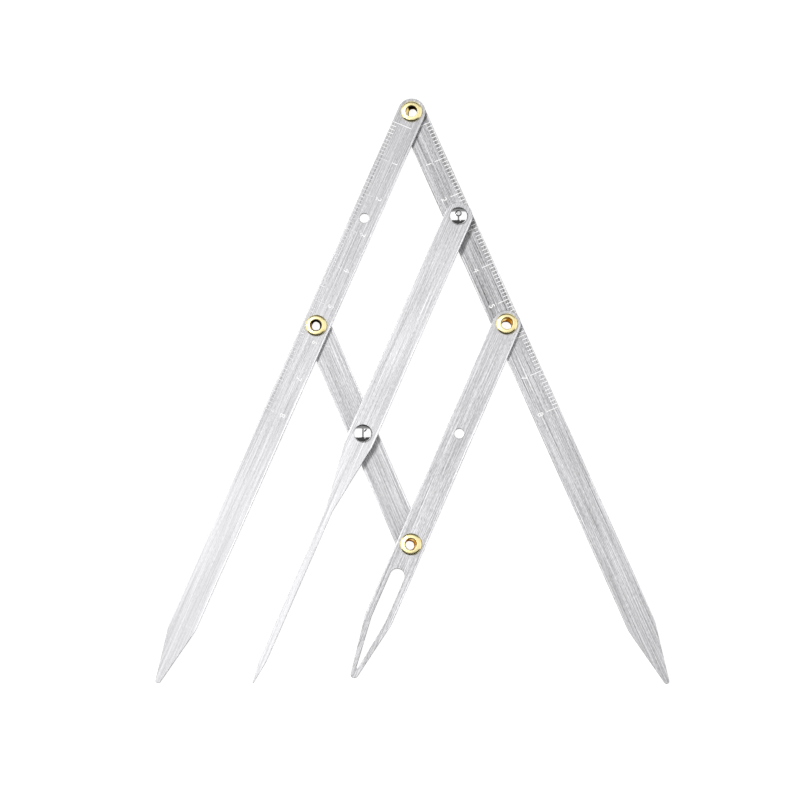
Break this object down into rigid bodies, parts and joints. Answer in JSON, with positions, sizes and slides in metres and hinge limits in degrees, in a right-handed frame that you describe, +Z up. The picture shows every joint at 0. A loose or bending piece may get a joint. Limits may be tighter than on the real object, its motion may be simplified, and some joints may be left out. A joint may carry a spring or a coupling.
{
  "type": "proportional divider",
  "caption": "Flat steel proportional divider: ruled arms hinged at the apex, cross link, needle blade and loop-ended blade, on hollow brass eyelets and domed rivets.",
  "frame": {"origin": "on the apex pivot's axis, in the plane the tool rests on, at the rear mouth of the apex eyelet", "axes": "+Z up through the blades from the resting plane, +Y from the tips to the apex pivot, +X across, towards the right arm"},
  "size_m": [0.126, 0.1476, 0.0049],
  "materials": {
    "blade_steel": "brushed along the blade",
    "brass": "polished",
    "polished_steel": "mirror polished"
  },
  "bodies": {
    "right_arm": {"right_arm": "blade_steel", "apex_eyelet": "brass", "right_eyelet": "brass", "upper_rivet": "polished_steel", "upper_rivet_cap": "polished_steel", "upper_spacer": "blade_steel"},
    "left_arm": {"left_arm": "blade_steel"},
    "cross_link": {"cross_link": "blade_steel", "left_eyelet": "brass", "lower_eyelet": "brass", "lower_rivet": "polished_steel", "lower_rivet_cap": "polished_steel", "lower_spacer": "blade_steel"},
    "needle_arm": {"needle_arm": "blade_steel"},
    "loop_arm": {"loop_arm": "blade_steel"}
  },
  "joints": [
    {"name": "apex_pivot", "type": "hinge", "parent": "right_arm", "child": "left_arm", "pos_m": [0, 0, 0], "axis": [0, 0, 1], "range_deg": [-120, 34]},
    {"name": "link_pivot", "type": "hinge", "parent": "left_arm", "child": "cross_link", "pos_m": [-0.02392, -0.05502, 0], "axis": [0, 0, 1], "range_deg": [-34, 120]},
    {"name": "needle_pivot", "type": "hinge", "parent": "right_arm", "child": "needle_arm", "pos_m": [0.01196, -0.02751, 0], "axis": [0, 0, 1], "range_deg": [-120, 34]},
    {"name": "loop_pivot", "type": "hinge", "parent": "right_arm", "child": "loop_arm", "pos_m": [0.02392, -0.05502, 0], "axis": [0, 0, 1], "range_deg": [-120, 34]}
  ],
  "couplings": [
    {"joint": "link_pivot", "follows": "apex_pivot", "ratio": -1},
    {"joint": "needle_pivot", "follows": "apex_pivot", "ratio": 1},
    {"joint": "loop_pivot", "follows": "apex_pivot", "ratio": 1}
  ]
}
